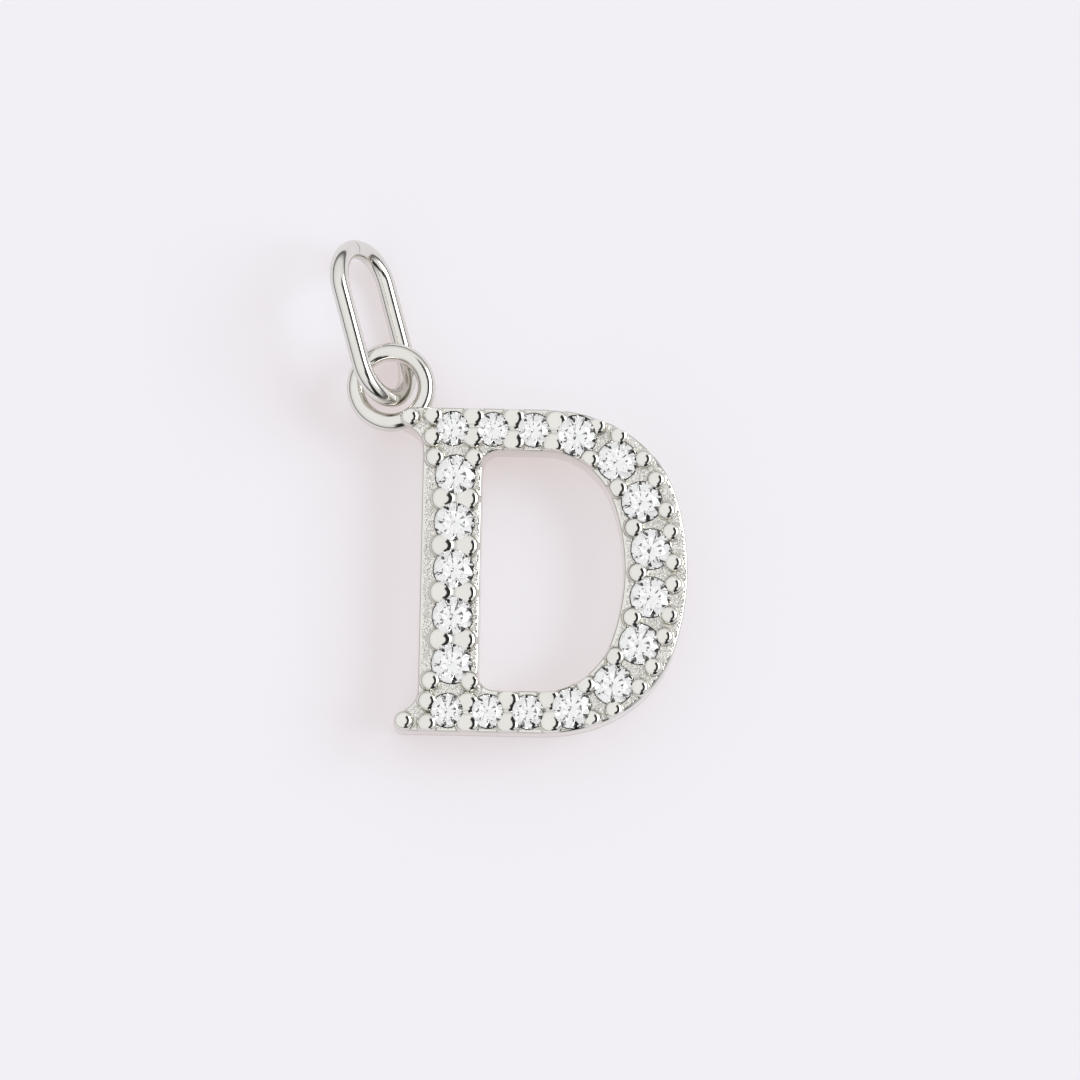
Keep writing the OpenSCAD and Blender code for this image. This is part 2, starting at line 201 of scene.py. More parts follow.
class Tree:
    """The node tree of a material or of the world."""

    def __init__(self, owner):
        owner.use_nodes = True
        self.nodes, self.links = owner.node_tree.nodes, owner.node_tree.links
        self.nodes.clear()

    def node(self, kind, settings=None, values=(), out=0):
        """Makes a node. Settings are set first, then values or links go into its sockets."""
        made = self.nodes.new(kind)
        for name, value in (settings or {}).items():
            setattr(made, name, value)
        pairs = values.items() if isinstance(values, dict) else enumerate(values)
        for key, value in pairs:
            if isinstance(value, Shade):
                self.links.new(value.socket, made.inputs[key])
            else:
                made.inputs[key].default_value = value
        return Shade(self, made.outputs[out]) if made.outputs else None

    def mix(self, factor, one, other):
        """A colour between two. A Mix node has its colours at inputs 6 and 7 and at output 2."""
        return self.node("ShaderNodeMix", {"data_type": "RGBA"},
                         {0: factor, 6: one, 7: other}, out=2)


def colour(red, green, blue):
    return (red, green, blue, 1)


def grain(tree, place, size, detail=2):
    """Soft random values from 0 to 1, with a feature size in millimetres."""
    return tree.node("ShaderNodeTexNoise", None,
                     {"Vector": place, "Scale": 1 / (size * MM), "Detail": detail})


# Silver: its tints and polish, then sizes and depths of clouds, dents, grains, speckles and pits
CAST_TINT = (0.82, 0.805, 0.755)
CAST_POLISH = 0.06
DRAWN_TINT = (0.80, 0.785, 0.74)
DRAWN_POLISH = 0.1
CLOUD_SIZE = 1.1
CLOUD_SHADE = 0.96
CLOUD_ROUGHNESS = 0.05
DENT_SIZE = 0.5
DENT_DEPTH = 0.0015
GRAIN_SIZE = 0.03
GRAIN_DEPTH = 0.011
GRAIN_ROUGHNESS = 0.16
SKIN_ROUGHNESS = 0.08
SPECKLE_SIZE = 0.045
SPECKLE_SHARE = 0.55
PIT_SIZE = 0.06
PIT_DEPTH = 0.012
PIT_SOFTNESS = 0.4
BRIGHT_GRAIN = (0.93, 0.915, 0.865)
DARK_GRAIN = (0.42, 0.40, 0.35)
# Painted shade in creases and along edges, and the ring's dark joint: its tint and share
PAINTED_SHADE_AND_JOINT_TINT = (0.3, 0.285, 0.25)
PAINTED_SHADE_AND_JOINT_SHARE = 0.4


def silver_material(name, tint, polish, cast):
    """Silver: polished, or where the mark named cast_skin is 1, grainy as it left the mould."""
    material = bpy.data.materials.new(name)
    tree = Tree(material)
    place = tree.node("ShaderNodeTexCoord", out="Object")
    clouds = grain(tree, place, CLOUD_SIZE)
    rough = polish + CLOUD_ROUGHNESS * clouds
    clouded = colour(*(c * CLOUD_SHADE for c in tint))
    base = tree.mix(clouds.between(0.3, 0.7), colour(*tint), clouded)
    height = DENT_DEPTH * grain(tree, place, DENT_SIZE)
    painted_shade_and_joint = tree.node("ShaderNodeAttribute", {"attribute_name": "painted_shade_and_joint"}, out="Fac")
    if cast:
        skin = tree.node("ShaderNodeAttribute", {"attribute_name": "cast_skin"}, out="Fac")
        fine = grain(tree, place, GRAIN_SIZE)
        speckle = grain(tree, place, SPECKLE_SIZE, detail=1).between(0.4, 0.62)
        pits = tree.node("ShaderNodeTexVoronoi", {"feature": "SMOOTH_F1"},
                         {"Vector": place, "Scale": 1 / (PIT_SIZE * MM),
                          "Smoothness": PIT_SOFTNESS})
        rough = rough + skin * (SKIN_ROUGHNESS + GRAIN_ROUGHNESS * fine)
        grains = tree.mix(speckle * SPECKLE_SHARE, colour(*BRIGHT_GRAIN), colour(*DARK_GRAIN))
        base = tree.mix(skin, base, grains)
        height = height + skin * (PIT_DEPTH * pits + GRAIN_DEPTH * fine)
    # Painted shade: the mark darkens creases, the beads' feet and the letter's edges as shade
    # would, and also gives the ring its dark joint
    base = tree.mix(painted_shade_and_joint * PAINTED_SHADE_AND_JOINT_SHARE, base, colour(*PAINTED_SHADE_AND_JOINT_TINT))
    bump = tree.node("ShaderNodeBump", None, {"Strength": 1.0, "Distance": MM, "Height": height})
    shader = tree.node("ShaderNodeBsdfPrincipled", None,
                       {"Base Color": base, "Metallic": 1.0, "Roughness": rough, "Normal": bump})
    tree.node("ShaderNodeOutputMaterial", None, {"Surface": shader})
    return material


# Clear zirconia: how strongly it bends light, and the faint haze of dust on it
ZIRCONIA_IOR = 2.17
HAZE_SIZE = 0.35
HAZE_TINT = (0.985, 0.987, 0.992)


def stone_material():
    """Clear zirconia with polished facets, and a faint milkiness where dust has stuck."""
    material = bpy.data.materials.new("clear_zirconia")
    tree = Tree(material)
    place = tree.node("ShaderNodeTexCoord", out="Object")
    haze = grain(tree, place, HAZE_SIZE).between(0.35, 0.8)
    base = tree.mix(haze, colour(1, 1, 1), colour(*HAZE_TINT))
    shader = tree.node("ShaderNodeBsdfPrincipled", None,
                       {"Base Color": base, "Roughness": 0.0, "IOR": ZIRCONIA_IOR,
                        "Transmission Weight": 1.0})
    tree.node("ShaderNodeOutputMaterial", None, {"Surface": shader})
    return material


# Paper that is lit from below: how far it runs, its two tints and its glow
FLOOR_REACH = 400
PAPER_CLOUD_SIZE = 30
PAPER_TINTS = ((0.386, 0.483, 0.558), (0.390, 0.487, 0.562))
PAPER_ROUGHNESS = 0.9
WARM_GLOW = (0.507, 0.397, 0.366)
PAPER_GLOW = 1.02


def floor_material():
    """Plain pale paper on a warm light table, so that shadows stay faint and warm."""
    material = bpy.data.materials.new("lit_paper")
    tree = Tree(material)
    place = tree.node("ShaderNodeTexCoord", out="Object")
    shade = grain(tree, place, PAPER_CLOUD_SIZE)
    base = tree.mix(shade, *(colour(*tint) for tint in PAPER_TINTS))
    shader = tree.node("ShaderNodeBsdfPrincipled", None,
                       {"Base Color": base, "Roughness": PAPER_ROUGHNESS,
                        "Specular IOR Level": 0.0, "Emission Color": colour(*WARM_GLOW),
                        "Emission Strength": PAPER_GLOW})
    tree.node("ShaderNodeOutputMaterial", None, {"Surface": shader})
    return material


# Light tent around the pendant. A direction has a lift, its elevation, and a turn, its azimuth
# from +X towards +Y, in degrees. A patch has its lowest and highest lift and how soft these
# edges are, and then the same of its turn
SOFT_BOX_LIGHT = 4.2
CEILING_LIGHT = 1.0
HORIZON_LIGHT = 0.12
DARK = 0.03
TENT_TINT = (0.99, 0.992, 1)
LOWER_WALL = (4, 24)
UPPER_WALL = (24, 60)
SOFT_BOX = (20, 46, 2, -14, 34, 3)
DARK_SLOT = (51, 73, 1.5, -68, 58, 4)
FRONT_OPENING = (8, 54, 2, -84, -50, 3)


def light_tent():
    """A bright tent with a soft box low on the right, a dark slot above it, and a dark opening
    low at the front."""
    world = bpy.data.worlds.new("light_tent")
    bpy.context.scene.world = world
    tree = Tree(world)
    way = tree.node("ShaderNodeTexCoord", out="Generated")
    split = tree.node("ShaderNodeSeparateXYZ", None, [way])
    x, y, z = (Shade(tree, split.socket.node.outputs[k]) for k in range(3))
    degrees = 180 / math.pi
    lift = z.math("ARCSINE") * degrees
    turn = y.math("ARCTAN2", x) * degrees

    def band(value, low, high, soft):
        above_low = value.between(low - soft, low + soft)
        return above_low * (1 - value.between(high - soft, high + soft))

    def patch(low, high, soft, start, end, soft_end):
        return band(lift, low, high, soft) * band(turn, start, end, soft_end)

    rise = 0.85 * lift.between(*LOWER_WALL) + 0.15 * lift.between(*UPPER_WALL)
    tent = HORIZON_LIGHT + (CEILING_LIGHT - HORIZON_LIGHT) * rise
    dark = patch(*DARK_SLOT).math("MAXIMUM", patch(*FRONT_OPENING))
    light = tent * (1 - (1 - DARK) * dark) + SOFT_BOX_LIGHT * patch(*SOFT_BOX)
    back = tree.node("ShaderNodeBackground", None,
                     {"Color": colour(*TENT_TINT), "Strength": light})
    tree.node("ShaderNodeOutputWorld", None, {"Surface": back})


def make_piece(name, vertices, faces, material, sharp=None, marks=None):
    """A mesh from points in millimetres, smooth apart from edges sharper than an angle."""
    mesh = bpy.data.meshes.new(name)
    mesh.from_pydata((np.asarray(vertices) * MM).tolist(), [], faces)
    mesh.validate()
    for mark, values in (marks or {}).items():
        layer = mesh.attributes.new(mark, "FLOAT", "POINT")
        layer.data.foreach_set("value", np.asarray(values, np.float32))
    mesh.shade_smooth()
    if sharp is not None:
        mesh.set_sharp_from_angle(angle=math.radians(sharp))
    mesh.materials.append(material)
    piece = bpy.data.objects.new(name, mesh)
    bpy.context.scene.collection.objects.link(piece)
    return piece


def lay_floor():
    reach = FLOOR_REACH
    corners = [(-reach, -reach, 0), (reach, -reach, 0), (reach, reach, 0), (-reach, reach, 0)]
    make_piece("floor", corners, [(0, 1, 2, 3)], floor_material())


# Grain beads: burnished pads, a little wider than the frame's beads, and drawn out to a tip
# where two of them face each other between stones
BEAD_SPREAD = 1.2
BEAD_BREADTH = 1.15
BEAD_FLATNESS = 2.6
BEAD_FULLNESS = 0.3
TIP_OVERLAP = 0.06

# Two beads face each other where they are this far apart, stand about square to the line
# between the two stones beside them, and meet it near its middle
PARTNER_SPAN = (0.65, 1.25)
MOST_LEAN = 0.35
MOST_OFF_LINE = 0.15


def find_beads():
    """Middle and foot radius of every bead, from the circles that a level cuts just under
    their tops."""
    under = 0.06
    rows = []
    for loop in level_loops(SETTING, BEAD_TOP - under):
        middle = (loop.min(axis=0) + loop.max(axis=0)) / 2
        ring = np.linalg.norm(loop - middle, axis=1).mean()
        rows.append([*middle, BEAD_SPREAD * (ring ** 2 + under ** 2) / (2 * under)])
    return np.array(rows)


def find_tips(beads):
    """Every bead's tip, towards the bead across the gap, as rows of [direction x and y, length,
    half breadth]. A bead without a partner stays round."""
    tips = []
    for x, y, radius in beads:
        best, tip = 0, (1.0, 0.0, radius, radius)
        for other_x, other_y, _ in beads:
            run = np.array([other_x - x, other_y - y])
            span = np.linalg.norm(run)
            if not PARTNER_SPAN[0] < span < PARTNER_SPAN[1]:
                continue
            middle = np.array([x, y]) + run / 2
            room = np.linalg.norm(SEATS[:, :2] - middle, axis=1) - SEATS[:, 2] / 2
            one, other = SEATS[np.argsort(room)[:2], :2]
            lean = abs((one - other) @ run) / (np.linalg.norm(one - other) * span)
            off_line = abs((middle - one) @ (other - one) / ((other - one) @ (other - one)) - 0.5)
            if room.min() > best and lean < MOST_LEAN and off_line < MOST_OFF_LINE:
                length, breadth = span / 2 + TIP_OVERLAP, radius * BEAD_BREADTH
                best, tip = room.min(), (*run / span, length, breadth)
        tips.append(tip)
    return np.array(tips)


BEADS = find_beads()
BEAD_TIPS = find_tips(BEADS)


def bead_share(points, bead, tip):
    """How far out points lie on a bead: 0 at its middle and 1 at its foot."""
    away = points - bead[:2]
    along = away @ tip[:2]
    across = away @ np.array([-tip[1], tip[0]])
    return np.hypot(along / np.where(along > 0, tip[2], bead[2]), across / tip[3])


def gap_to(points, loop):
    """Distance from points to the nearest stretch of a closed loop."""
    start, run = loop, np.roll(loop, -1, axis=0) - loop
    length = (run ** 2).sum(axis=1)
    nearest = []
    # Few points at a time, to save memory
    for few in np.array_split(points, max(1, len(points) // 2000)):
        apart = few[:, None, :] - start
        share = np.clip((apart * run).sum(axis=2) / length, 0, 1)
        nearest.append(np.linalg.norm(apart - share[..., None] * run, axis=2).min(axis=1))
    return np.concatenate(nearest)


def inset_of(points):
    """How far points lie from the nearest wall."""
    return np.minimum(*(gap_to(points, loop) for loop, _ in WALLS))


# How far from its middle a bead can reach at most, and how far in from the walls beads fade
BEAD_REACH = 1
BEAD_FADE = 0.05


def face_relief(points):
    """Height of the casting's front at points, height of its beads alone, inset from the walls,
    and distance to the nearest bead's foot."""
    inset = inset_of(points)
    into = np.clip(inset - WALL_DRAFT, 0, SHOULDER)
    plain = FACE - SHOULDER + np.sqrt(SHOULDER ** 2 - (SHOULDER - into) ** 2)
    raised, to_foot = np.zeros(len(points)), np.full(len(points), 1.0)
    for bead, tip in zip(BEADS, BEAD_TIPS):
        near = np.flatnonzero(np.abs(points - bead[:2]).max(axis=1) < BEAD_REACH)
        share = bead_share(points[near], bead, tip)
        pad = BEAD_RISE * (1 - np.minimum(share, 1) ** BEAD_FLATNESS) ** BEAD_FULLNESS
        raised[near] = np.maximum(raised[near], pad)
        to_foot[near] = np.minimum(to_foot[near], np.abs(share - 1) * bead[2])
    raised *= np.clip((inset - WALL_DRAFT) / BEAD_FADE, 0, 1) ** 0.5
    return plain + raised, raised, inset, to_foot


def seat_height(away, size):
    """Height of the cut that a stone's crown leaves in the beads over it."""
    rim, table = size / 2 + SEAT_GAP, size / 2 * TABLE_SHARE + SEAT_GAP
    share = np.clip((rim - away) / (rim - table), 0, 1)
    low, high = SEAT_GAP / 2, size * CROWN_SHARE + SEAT_GAP
    return FACE - STONE_SINK + low + share * (high - low)


# Directions around a stone, and how far beads are looked for over its rim
SEAT_STEPS = 132
SEAT_TURNS = np.arange(SEAT_STEPS) * 2 * math.pi / SEAT_STEPS
LAP_STEPS = 18
LAP_REACH = 0.07


def seat_edge(x, y, size):
    """Edge of the opening over a stone, drawn in where beads lap over its rim, and how far from
    the stone's middle each of its points is."""
    rim = size / 2 + SEAT_GAP
    reaches = rim - np.arange(LAP_STEPS) * LAP_REACH / LAP_STEPS
    away = np.broadcast_to(reaches, (SEAT_STEPS, LAP_STEPS))
    points = np.stack([x + away * np.cos(SEAT_TURNS)[:, None],
                       y + away * np.sin(SEAT_TURNS)[:, None]], axis=2)
    front = face_relief(points.reshape(-1, 2))[0].reshape(SEAT_STEPS, LAP_STEPS)
    metal = front > seat_height(away, size)
    metal[:, 0] = True
    last = np.argmin(np.cumprod(metal, axis=1), axis=1) - 1
    last[metal.all(axis=1)] = LAP_STEPS - 1
    reach = reaches[last]
    edge = np.stack([x + reach * np.cos(SEAT_TURNS), y + reach * np.sin(SEAT_TURNS)], axis=1)
    return edge, reach


def inside(points, loop):
    """Which points lie inside a closed loop."""
    x, y = points[:, :1], points[:, 1:]
    ax, ay = loop.T
    bx, by = np.roll(loop, -1, axis=0).T
    crosses = ((ay > y) != (by > y)) & (x < (bx - ax) * (y - ay) / (by - ay + 1e-12) + ax)
    return crosses.sum(axis=1) % 2 == 1


def on_letter(points):
    return inside(points, OUTER) & ~inside(points, COUNTER)


# Points of the front: turns of the rows over the shoulder, shares of the way out to a bead's
# foot where its rings lie, spacings, and the room that points keep to what is there already
SHOULDER_TURNS = (25, 48, 70, 90)
RING_SHARES = (0.15, 0.3, 0.44, 0.57, 0.69, 0.79, 0.87, 0.93, 0.97, 0.995, 1.05)
RING_SPACING = 0.035
FEWEST_ON_RING = 6
GRID_STEP = 0.042
GRID_ROOM = 0.025
BEAD_ROOM = 1.1
WALL_ROOM = 0.012
SEAT_ROOM = 0.015
EDGE_ROOM = 0.012
LEAST_SPACING = 0.0075


def bead_rings(bead, tip):
    """Points on a bead: its middle, and rings from there to just beyond its foot."""
    rows = [bead[None, :2]]
    for k, share in enumerate(RING_SHARES):
        around = 2 * math.pi * share * bead[2]
        count = max(FEWEST_ON_RING, int(round(around / RING_SPACING)))
        turns = (np.arange(count) + 0.5 * (k % 2)) * 2 * math.pi / count
        along = share * np.cos(turns) * np.where(np.cos(turns) > 0, tip[2], bead[2])
        across = share * np.sin(turns) * tip[3]
        rows.append(bead[:2] + np.outer(along, tip[:2]) + np.outer(across, [-tip[1], tip[0]]))
    return np.vstack(rows)


def even_grid():
    """Points in offset rows over the flat of the face."""
    low, high = OUTER.min(axis=0), OUTER.max(axis=0)
    rows = np.arange(low[1], high[1], GRID_STEP * math.sqrt(0.75))
    columns = np.arange(low[0], high[0], GRID_STEP)
    grid = np.array([[x + (k % 2) * GRID_STEP / 2, y] for k, y in enumerate(rows)
                     for x in columns])
    grid = grid[on_letter(grid)]
    return grid[inset_of(grid) > WALL_DRAFT + SHOULDER + GRID_ROOM]


def off_beads(points):
    """Those points that keep clear of the beads."""
    free = np.ones(len(points), bool)
    for bead, tip in zip(BEADS, BEAD_TIPS):
        free &= bead_share(points, bead, tip) > BEAD_ROOM
    return points[free]


def off_walls(points):
    """Those points on the letter that keep clear of its walls."""
    return points[on_letter(points) & (inset_of(points) > WALL_DRAFT + WALL_ROOM)]


def off_seats(points, edges):
    """Those points that keep clear of the openings over the stones."""
    free = np.ones(len(points), bool)
    for (x, y, size), edge in zip(SEATS, edges):
        near = np.hypot(points[:, 0] - x, points[:, 1] - y) < size / 2 + SEAT_GAP + SEAT_ROOM
        close = np.flatnonzero(near & free)
        if len(close):
            over = inside(points[close], edge) | (gap_to(points[close], edge) < EDGE_ROOM)
            free[close[over]] = False
    return points[free]


def face_points(edges):
    """Points between the walls and the seats: rows along the walls, rings on the beads and an
    even field."""
    fields = []
    for turn in SHOULDER_TURNS:
        inset = WALL_DRAFT + SHOULDER * (1 - math.cos(math.radians(turn)))
        fields += [off_beads(loop - out * inset) for loop, out in WALLS]
    fields += [off_walls(bead_rings(bead, tip)) for bead, tip in zip(BEADS, BEAD_TIPS)]
    fields.append(off_beads(even_grid()))
    return np.vstack([off_seats(points, edges) for points in fields])


def far_apart(points, step):
    """Drops points that lie closer than a step to an earlier one."""
    cells, kept = {}, []
    for k, (x, y) in enumerate(points):
        cell = (int(x // step), int(y // step))
        around = [j for a in (-1, 0, 1) for b in (-1, 0, 1)
                  for j in cells.get((cell[0] + a, cell[1] + b), ())]
        if all((points[j][0] - x) ** 2 + (points[j][1] - y) ** 2 > step ** 2 for j in around):
            cells.setdefault(cell, []).append(k)
            kept.append(k)
    return points[kept]


# Slivers on the border with less area than this, in square millimetres, lie beyond it
LEAST_AREA = 1e-6
TRIANGLE_TOLERANCE = 1e-7


def triangulated(borders, others=()):
    """Fills a border, around the holes that the borders after it leave. Gives the points, the
    triangles, and where each given point went."""
    flat = np.vstack([*borders, *others])
    links = [(start + i, start + (i + 1) % len(border))
             for start, border in zip(starts(borders), borders) for i in range(len(border))]
    points, _, triangles, origins, _, _ = delaunay_2d_cdt([Vector(p) for p in flat], links, [],
                                                          0, TRIANGLE_TOLERANCE)
    place_of = {old: new for new, olds in enumerate(origins) for old in olds}
    points = np.array([p[:] for p in points])
    triangles = np.array([t[:] for t in triangles])
    one, two = (points[triangles[:, k]] - points[triangles[:, 0]] for k in (1, 2))
    area = abs(one[:, 0] * two[:, 1] - one[:, 1] * two[:, 0]) / 2
    middles = points[triangles].mean(axis=1)
    kept = inside(middles, borders[0]) & (area > LEAST_AREA)
    for hole in borders[1:]:
        kept &= ~inside(middles, hole)
    return points, triangles[kept].tolist(), place_of


def starts(borders):
    """Where each border begins in a list of all their points, and where the last one ends."""
    return np.cumsum([0] + [len(border) for border in borders]).tolist()


class Skin:
    """A skin that grows from its front by rows of points. Every point has a cast_skin mark, 1
    where the face is grainy, and a mark of painted shade, which darkens it."""

    def __init__(self, points, faces, cast_skin, painted_shade_and_joint):
        self.points, self.faces = [points], faces
        self.cast_skin, self.painted_shade_and_joint = [cast_skin], [painted_shade_and_joint]
        self.total = len(points)

    def add(self, points, painted_shade_and_joint):
        """Adds polished points and gives their numbers."""
        self.points.append(points)
        self.cast_skin.append(np.zeros(len(points)))
        self.painted_shade_and_joint.append(np.full(len(points), painted_shade_and_joint))
        self.total += len(points)
        return list(range(self.total - len(points), self.total))

    def add_face(self, corners, flip):
        self.faces.append(corners[::-1] if flip else corners)

    def hang(self, above, rows, painted_shades, flip):
        """Hangs rows of points below a border that is there already, and gives the last row."""
        for row, painted_shade_and_joint in zip(rows, painted_shades):
            here = self.add(row, painted_shade_and_joint)
            for i in range(len(row)):
                j = (i + 1) % len(row)
                self.add_face((above[i], here[i], here[j], above[j]), flip)
            above = here
        return above

    def close(self, above, tip, painted_shade_and_joint, flip):
        """Closes a border down to a tip."""
        end, = self.add(np.array([tip]), painted_shade_and_joint)
        for i in range(len(above)):
            self.add_face((above[i], end, above[(i + 1) % len(above)]), flip)


# Cast face: how soon its grain fades towards beads and shoulder, and its ripples, each with its
# waves in a millimetre, the level where the noise is cut, and its strength
SKIN_FADE = 0.03
RIPPLE_HEIGHT = 0.005
RIPPLES = ((9, 0, 1), (19, 5, 0.6))

# Painted shade: dark lines painted where shade falls at the beads' feet and the face's edge, with
# their widths, and the rest
FOOT_PAINTED_SHADE = 0.8
FOOT_PAINTED_SHADE_WIDTH = 0.016
EDGE_PAINTED_SHADE = 1.3
EDGE_PAINTED_SHADE_WIDTH = 0.018
BORDER_PAINTED_SHADE = 0.2
WALL_PAINTED_SHADES = (0.8, 0.2, 0.2, 0.2, 0.2, 0.2, 0.2)
SEAT_PAINTED_SHADE = 0.35

# Walls: shares of their draft and height, then shares of the back's bevel, inwards and upwards
DRAFT_SHARES = (0.97, 0.5)
BEVEL_SHARES = ((0, 1.4), (0.06, 0.75), (0.3, 0.3), (0.7, 0.06), (1, 0))

# Least thickness of a bead's lap, and how far a seat's wall starts below its top
LAP_THICKNESS = 0.003
SEAT_DROP = 0.006


def ripple(points):
    return sum(strength * np.array([noise.noise(Vector((x * waves, y * waves, level)))
                                    for x, y in points])
               for waves, level, strength in RIPPLES)


def front_skin(borders, field):
    """The casting's front as a skin, the heights of its points, and where each point went."""
    flat, triangles, place_of = triangulated(borders, [field])
    height, raised, inset, to_foot = face_relief(flat)
    open_face = (np.clip(1 - raised / SKIN_FADE, 0, 1)
                 * np.clip((inset - WALL_DRAFT - SHOULDER) / SKIN_FADE, 0, 1))
    border_set = {place_of[k] for k in range(starts(borders)[-1])}
    on_border = np.array([k in border_set for k in range(len(flat))])
    height += np.where(on_border, 0, RIPPLE_HEIGHT) * open_face * ripple(flat)
    # Painted shade: dark lines where shade falls at the beads' feet, along the face's edge and on
    # the border
    foot_painted_shade = FOOT_PAINTED_SHADE * np.exp(-(to_foot / FOOT_PAINTED_SHADE_WIDTH) ** 2)
    edge_painted_shade = EDGE_PAINTED_SHADE * np.exp(-((inset - WALL_DRAFT) / EDGE_PAINTED_SHADE_WIDTH) ** 2)
    painted_shade_and_joint = np.maximum(np.maximum(foot_painted_shade, edge_painted_shade), BORDER_PAINTED_SHADE * on_border)
    faces = [tuple(t) for t in triangles]
    return Skin(np.column_stack([flat, height]), faces, open_face, painted_shade_and_joint), height, place_of


def wall_rows(loop, out):
    """Rows of points from under the shoulder down to the back."""
    levels = [(WALL_DRAFT * share, (FACE - SHOULDER) * share) for share in DRAFT_SHARES]
    levels += [(BACK_BEVEL * inwards, BACK_BEVEL * up) for inwards, up in BEVEL_SHARES]
    return [np.column_stack([loop - out * inset, np.full(len(loop), z)]) for inset, z in levels]


def seat_rows(seat, edge, reach, front):
    """Rows of points from the edge of a seat down its wall and half its cone, and the tip."""
    x, y, size = seat
    rim = size / 2 + SEAT_GAP
    level = FACE - STONE_SINK
    wall_foot = level - GIRDLE - SEAT_GAP / 2
    tip = level - GIRDLE - size * PAVILION_SHARE - SEAT_GAP * 1.5
    ring = np.column_stack([x + rim * np.cos(SEAT_TURNS), y + rim * np.sin(SEAT_TURNS)])
    half = ring * 0.5 + np.array([x, y]) * 0.5
    rows = [(edge, np.minimum(seat_height(reach, size), front - LAP_THICKNESS)),
            (ring, level + SEAT_GAP / 2 - SEAT_DROP), (ring, wall_foot),
            (half, (wall_foot + tip) / 2)]
    return [np.column_stack([flat, np.full(SEAT_STEPS, z)]) for flat, z in rows], (x, y, tip)


def casting():
    """The one-piece letter: front with beads and seats, walls and back, as one closed skin."""
    edges = [seat_edge(*seat) for seat in SEATS]
    rims = [edge for edge, _ in edges]
    borders = [loop - out * WALL_DRAFT for loop, out in WALLS] + rims
    field = far_apart(face_points(rims), LEAST_SPACING)
    skin, height, place_of = front_skin(borders, field)
    tops = [[place_of[start + i] for i in range(len(border))]
            for start, border in zip(starts(borders), borders)]
    feet, back_borders = [], []
    # The walls and the seats get painted shade row by row
    for k, (loop, out) in enumerate(WALLS):
        rows = wall_rows(loop, out)
        feet += skin.hang(tops[k], rows, WALL_PAINTED_SHADES, flip=(k == 1))
        back_borders.append(rows[-1][:, :2])
    for seat, top, (edge, reach) in zip(SEATS, tops[2:], edges):
        rows, tip = seat_rows(seat, edge, reach, height[top])
        foot = skin.hang(top, rows, [SEAT_PAINTED_SHADE] * len(rows), flip=True)
        skin.close(foot, tip, SEAT_PAINTED_SHADE, flip=True)
    _, triangles, place_of = triangulated(back_borders)
    source = {new: old for old, new in place_of.items()}
    for triangle in triangles:
        skin.add_face(tuple(feet[source[v]] for v in triangle), flip=True)
    marks = {"cast_skin": np.concatenate(skin.cast_skin), "painted_shade_and_joint": np.concatenate(skin.painted_shade_and_joint)}
    return np.vstack(skin.points), skin.faces, marks


SHARP_ANGLE = 38


def letter_piece(silver):
    vertices, faces, marks = casting()
    piece = make_piece("letter", vertices, faces, silver, sharp=SHARP_ANGLE, marks=marks)
    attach(piece, "root")
    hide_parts("letter_setting")


# Flat loop at the corner of the letter, as the frame has it apart from the rounding of its edges
LOOP_HOLE = 0.8
LOOP_BAND = 0.53
LOOP_LOW = 0.68
LOOP_HIGH = 1.43
LOOP_ROUND = 0.27
LOOP_HOLE_ROUND = 0.2
LOOP_TOLERANCE = 0.02
LOOP_STEPS = 160
ROUND_TURNS = range(0, 91, 10)


def find_loop():
    """Middle of the loop's hole, from the level that cuts it at half its thickness."""
    for loop in level_loops(SETTING, (LOOP_LOW + LOOP_HIGH) / 2):
        middle = (loop.min(axis=0) + loop.max(axis=0)) / 2
        reach = np.linalg.norm(loop - middle, axis=1)
        if abs(reach.mean() - LOOP_HOLE) < LOOP_TOLERANCE and np.ptp(reach) < LOOP_TOLERANCE:
            return middle
    raise ValueError("the letter has no round loop at its corner")


def lathe(profile, middle, steps):
    """Points and faces of a ring-shaped skin: a closed profile of [radius, height] that is
    turned about a place."""
    turns = np.arange(steps) * 2 * math.pi / steps
    radius, height = np.array(profile).T
    x = middle[0] + np.outer(np.cos(turns), radius)
    y = middle[1] + np.outer(np.sin(turns), radius)
    z = np.broadcast_to(height, x.shape)
    return np.stack([x, y, z], axis=2).reshape(-1, 3), ring_faces(steps, len(profile))


def ring_faces(steps, around):
    """Faces between rows of points that run around a ring, each row closed too."""
    return [(i * around + k, (i + 1) % steps * around + k,
             (i + 1) % steps * around + (k + 1) % around, i * around + (k + 1) % around)
            for i in range(steps) for k in range(around)]


def loop_piece(silver):
    """A flat loop with a crisp hole and a softer outer shoulder."""
    inner, outer = LOOP_HOLE, LOOP_HOLE + LOOP_BAND
    corners = [(outer, LOOP_HIGH, LOOP_ROUND, 0), (inner, LOOP_HIGH, LOOP_HOLE_ROUND, 90),
               (inner, LOOP_LOW, LOOP_HOLE_ROUND, 180), (outer, LOOP_LOW, LOOP_ROUND, 270)]
    profile = []
    for radius, height, soft, start in corners:
        side = 1 if start in (0, 270) else -1
        level = 1 if start in (0, 90) else -1
        for turn in ROUND_TURNS:
            a = math.radians(start + turn)
            profile.append((radius - side * soft + soft * math.cos(a),
                            height - level * soft + soft * math.sin(a)))
    points, faces = lathe(profile, find_loop(), LOOP_STEPS)
    piece = make_piece("hanging_loop", points, faces, silver)
    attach(piece, "root")


# Jump ring of round wire: an oval that leans up through the loop, with its joint as a fine
# groove. Turns are in degrees around the ring, from its right side
RING_WIRE = 0.56
RING_LENGTH = 5.2
RING_WIDTH = 2.9
RING_TILT = 55
RING_TURN = 16
RING_JOINT = 95
JOINT_DEPTH = 0.012
JOINT_TURNS = (-1.6, -0.8, 0, 0.8, 1.6)
JOINT_CREASE = 2
END_TURNS = range(0, 181, 4)
SIDE_STEPS = 24
WIRE_STEPS = 28


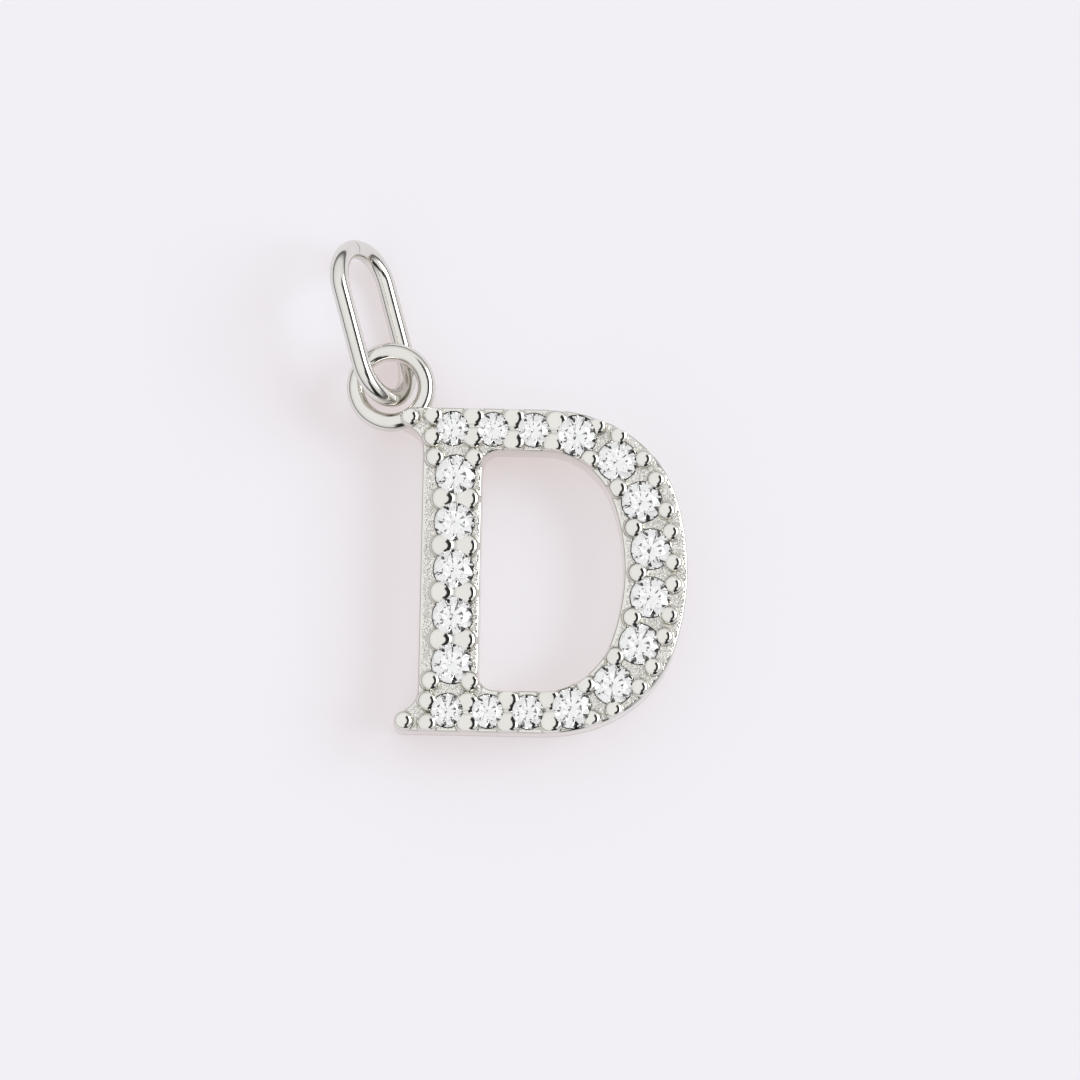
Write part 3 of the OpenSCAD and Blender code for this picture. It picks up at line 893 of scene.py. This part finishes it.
def ring_path():
    """Middle of the wire around the ring, with the direction out of the ring at each point."""
    bend = (RING_WIDTH - RING_WIRE) / 2
    straight = (RING_LENGTH - RING_WIDTH) / 2
    joint = [RING_JOINT + turn for turn in JOINT_TURNS]
    path = []
    for side, start in ((1, 0), (-1, 180)):
        turns = [start + turn for turn in END_TURNS]
        turns = sorted(turns + [turn for turn in joint if start < turn < start + 180])
        path += [((bend * math.cos(a), side * straight + bend * math.sin(a)), a)
                 for a in np.radians(turns)]
        along = np.linspace(1, -1, SIDE_STEPS)[1:-1] * side * straight
        path += [((-side * bend, y), math.radians(start + 180)) for y in along]
    return path


def ring_piece(silver):
    low, high = (np.array(corner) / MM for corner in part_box("jump_ring"))
    middle = (low + high) / 2
    pose = (Matrix.Rotation(math.radians(RING_TURN), 3, "Z")
            @ Matrix.Rotation(math.radians(RING_TILT), 3, "Y"))
    path = ring_path()
    points, painted_shade_and_joint = [], []
    for (x, y), a in path:
        in_joint = y > 0 and abs(math.degrees(a) - RING_JOINT) < 0.1
        radius = RING_WIRE / 2 - (JOINT_DEPTH if in_joint else 0)
        for k in range(WIRE_STEPS):
            b = 2 * math.pi * k / WIRE_STEPS
            reach = radius * math.cos(b)
            spot = Vector((x + reach * math.cos(a), y + reach * math.sin(a),
                           radius * math.sin(b)))
            points.append(np.array(pose @ spot) + middle)
            painted_shade_and_joint.append(JOINT_CREASE if in_joint else 0)
    faces = ring_faces(len(path), WIRE_STEPS)
    piece = make_piece("wire_ring", points, faces, silver, marks={"painted_shade_and_joint": painted_shade_and_joint})
    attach(piece, "root")
    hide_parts("jump_ring")


place_camera()
lay_floor()
light_tent()
bpy.context.scene.view_settings.view_transform = "Standard"
cast_silver = silver_material("cast_silver", CAST_TINT, CAST_POLISH, cast=True)
drawn_silver = silver_material("drawn_silver", DRAWN_TINT, DRAWN_POLISH, cast=False)
letter_piece(cast_silver)
loop_piece(drawn_silver)
ring_piece(drawn_silver)
stone = stone_material()
for name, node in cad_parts.items():
    if "stone" in name:
        node.data.materials.clear()
        node.data.materials.append(stone)
